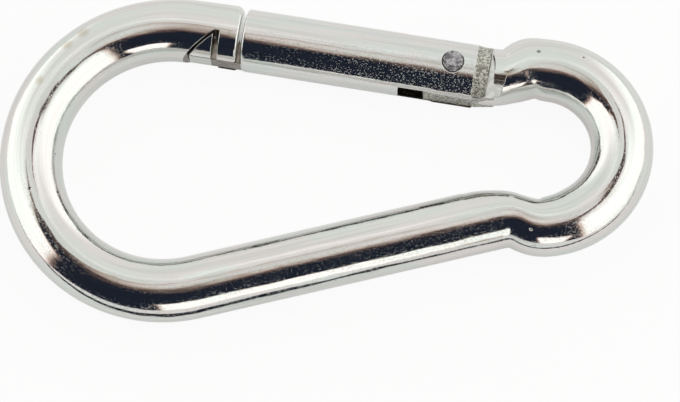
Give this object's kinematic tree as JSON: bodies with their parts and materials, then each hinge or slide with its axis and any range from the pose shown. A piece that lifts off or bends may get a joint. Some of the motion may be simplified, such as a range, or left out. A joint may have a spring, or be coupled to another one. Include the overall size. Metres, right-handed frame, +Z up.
{
  "type": "snap hook",
  "caption": "Pear-shaped snap hook of bent round bar with a large bow, a small eye and a sprung gate that opens inwards on a rivet.",
  "frame": {"origin": "centre of the bounding box's base, on the surface that the hook lies on", "axes": "+X along the hook towards the small eye, +Y towards the gate, +Z up from the surface it lies on"},
  "size_m": [0.1, 0.0512, 0.0096],
  "materials": {
    "plated_bar": "bright zinc plating with fine drawing lines along the bar",
    "plated_gate": "bright zinc plating, rough at the fork's sheared end",
    "rivet_steel": "dull zinc plating on a peened head",
    "spring_steel": "bare drawn spring wire, lightly oiled"
  },
  "bodies": {
    "hook": {"hook_body": "plated_bar"},
    "gate": {"gate": "plated_gate", "pivot_rivet": "rivet_steel", "gate_spring": "spring_steel"},
    "plunger": {"spring_plunger": "spring_steel"}
  },
  "joints": [
    {"name": "gate_pivot", "type": "hinge", "parent": "hook", "child": "gate", "pos_m": [0.01987, 0.01226, 0.0048], "axis": [0, 0, 1], "range_deg": [0, 40], "stiffness_Nm_per_rad": 0.035, "springref_deg": -34.38},
    {"name": "plunger_slide", "type": "slide", "parent": "gate", "child": "plunger", "axis": [-0.9795, 0.2012, 0], "range_m": [0, 0.0015], "deforming": ["gate_spring"]}
  ],
  "couplings": [
    {"joint": "plunger_slide", "follows": "gate_pivot", "m_per_rad": 0.0021066}
  ]
}
